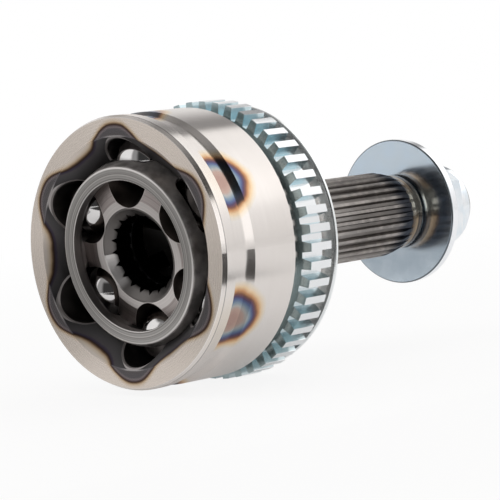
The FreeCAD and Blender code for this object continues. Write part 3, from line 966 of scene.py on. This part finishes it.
# %% [markdown]
# ## Two cards on the floor
# A photographer lays cards beside bright steel, out of the picture, so that its edges read as
# dark lines. A black one lies on the right of the joint and a grey one in front of its mouth.
# They could be modelled as boards, but only their shade in the steel is wanted. So each is a
# single face, hidden from the camera and without a shadow, that only reflections see.
# %% Cards
CARD_LIFT = 0.0005
def matt_card(name, corners, height, colour):
    """A matt card that only reflections see."""
    sheet = flat_sheet(name, corners, height)
    paint, tree, shader = finish_of(name + "_paint")
    feed(tree, shader.inputs["Base Color"], colour)
    shader.inputs["Roughness"].default_value = 0.8
    sheet.data.materials.append(paint)
    sheet.visible_camera = False
    sheet.visible_diffuse = False
    sheet.visible_shadow = False
    return sheet


card = matt_card(
    "dark_card", [(0.108, -0.55), (0.95, -0.75), (0.95, 0.12), (0.108, 0.07)],
    floor_level + 2 * CARD_LIFT, (0.03, 0.028, 0.027),
)
grey_card = matt_card(
    "grey_card", [(0.02, -0.14), (0.05, -1.0), (-1.05, 0.05), (-0.254, 0.12)],
    floor_level + CARD_LIFT, (0.42, 0.415, 0.41),
)
print("cards laid to the right of the joint and in front of its mouth")

# %% [markdown]
# ## Studio walls
# A metal part shows its room more than its own colour. Here the room is white walls with dark
# gaps between them, and it is the gaps that draw the shape. Lamps and planes could stand all
# round, but they would need care not to show. So the world is painted with soft panels by
# direction, and the camera sees plain white instead of them.
# %% World: directions
world = bpy.data.worlds.new("studio")
bpy.context.scene.world = world
world.use_nodes = True
tree = world.node_tree
looking = tree.nodes.new("ShaderNodeTexCoord").outputs["Generated"]
parts = tree.nodes.new("ShaderNodeSeparateXYZ")
tree.links.new(looking, parts.inputs[0])
to_front = calc(tree, "MULTIPLY", parts.outputs["Y"], -1.0)
bearing = calc(tree, "DEGREES", calc(tree, "ARCTAN2", parts.outputs["X"], to_front))
elevation = calc(tree, "DEGREES", calc(tree, "ARCSINE", parts.outputs["Z"]))


def panel(tree, middle, half_width, low, high, softness):
    """1 inside a patch of directions, fading over softness degrees."""
    turned = calc(tree, "WRAP", calc(tree, "SUBTRACT", bearing, middle), 180.0, -180.0)
    wide = before(tree, calc(tree, "ABSOLUTE", turned), half_width, softness)
    over_top = calc(tree, "ADD", high, softness)
    under_top = calc(tree, "SUBTRACT", high, softness)
    tall = both(
        tree, beyond(tree, elevation, low, softness),
        smooth(tree, elevation, over_top, under_top),
    )
    return both(tree, wide, tall)


def grey(level):
    return (level, level * 0.99, level * 0.98)


print("bearing 0 looks along -Y and 90 along +X")

# %% World: ceiling and back wall
ceiling = colours(tree, straight(tree, elevation, 40.0, 90.0), [
    (0.00, (0.42, 0.41, 0.41)),
    (0.20, (0.16, 0.155, 0.15)),
    (0.55, (0.15, 0.148, 0.145)),
    (0.75, (0.32, 0.315, 0.31)),
    (1.00, (0.42, 0.41, 0.40)),
])
wall_top = straight(tree, calc(tree, "WRAP", bearing, 360.0, 0.0), 100.0, 160.0, 34.5, 50.0)
wall_light = colours(tree, straight(tree, elevation, 0.0, 40.0), [
    (0.00, (0.80, 0.79, 0.78)),
    (0.25, (0.88, 0.87, 0.86)),
    (0.45, (0.98, 0.97, 0.96)),
    (0.62, (1.25, 1.24, 1.22)),
    (1.00, (1.34, 1.33, 1.31)),
])
print("the back wall is brighter towards its top")

# %% World: panels
# Each row: middle bearing, half width, lowest, highest, softness (degrees), and its light.
panels = [
    (30.0, 48.0, -60.0, 60.0, 6.0, grey(0.34)),     # dim front of the room
    (43.0, 27.0, -40.0, 44.0, 8.0, grey(0.045)),    # black cloth behind the camera
    (-50.0, 40.0, -30.0, 2.0, 4.0, grey(0.42)),     # left wall, low
    (-50.0, 40.0, 6.0, 55.0, 6.0, grey(1.00)),      # left soft box
    (93.0, 20.0, 34.0, 62.0, 3.0, grey(0.035)),     # dark gap over the right wall
    (134.0, 66.0, -2.0, wall_top, 3.0, wall_light),     # back wall
    (92.0, 24.0, 1.0, 31.0, 2.0, grey(1.28)),       # right soft box
    (-153.0, 6.5, 29.0, 62.0, 4.0, grey(0.29)),     # gap in the back left
    (-130.0, 18.0, -2.0, 26.0, 5.0, grey(0.94)),    # low panel in the back left
    (-104.0, 19.0, 42.0, 72.0, 4.0, grey(0.62)),    # high panel on the left
]
light = ceiling
for middle, half_width, low, high, softness, level in panels:
    light = blend(tree, panel(tree, middle, half_width, low, high, softness), light, level)
seen = tree.nodes.new("ShaderNodeLightPath")
shown = blend(tree, seen.outputs["Is Camera Ray"], light, (1.0, 1.0, 1.0))
sky = tree.nodes["Background"]
tree.links.new(shown, sky.inputs["Color"])
sky.inputs["Strength"].default_value = 1.0
print("studio panels painted:", len(panels))

# %% [markdown]
# ## Lamp
# One very large soft lamp hangs overhead for the floor's shadow. The painted walls could do
# without it, but their light comes from all sides and leaves a fainter shadow. Bright steel
# would show the lamp as a hard-edged patch, so reflections leave it out.
# %% Lamp
LAMP_WATTS = 26.0
LAMP_SIDE = 3.0
lamp_data = bpy.data.lights.new("overhead", "AREA")
lamp_data.shape = "RECTANGLE"
lamp_data.size = LAMP_SIDE
lamp_data.size_y = LAMP_SIDE
lamp_data.energy = LAMP_WATTS
overhead = bpy.data.objects.new("overhead", lamp_data)
overhead.location = (0.1, 0.0, 1.8)
overhead.visible_glossy = False
bpy.context.scene.collection.objects.link(overhead)
print("one overhead lamp,", LAMP_WATTS, "W")

# %% [markdown]
# ## Colour management
# A filmic view would hold back the brightest reflections, but it would mute the pale steel
# too. Standard shows a colour as it is written.
bpy.context.scene.view_settings.view_transform = "Standard"
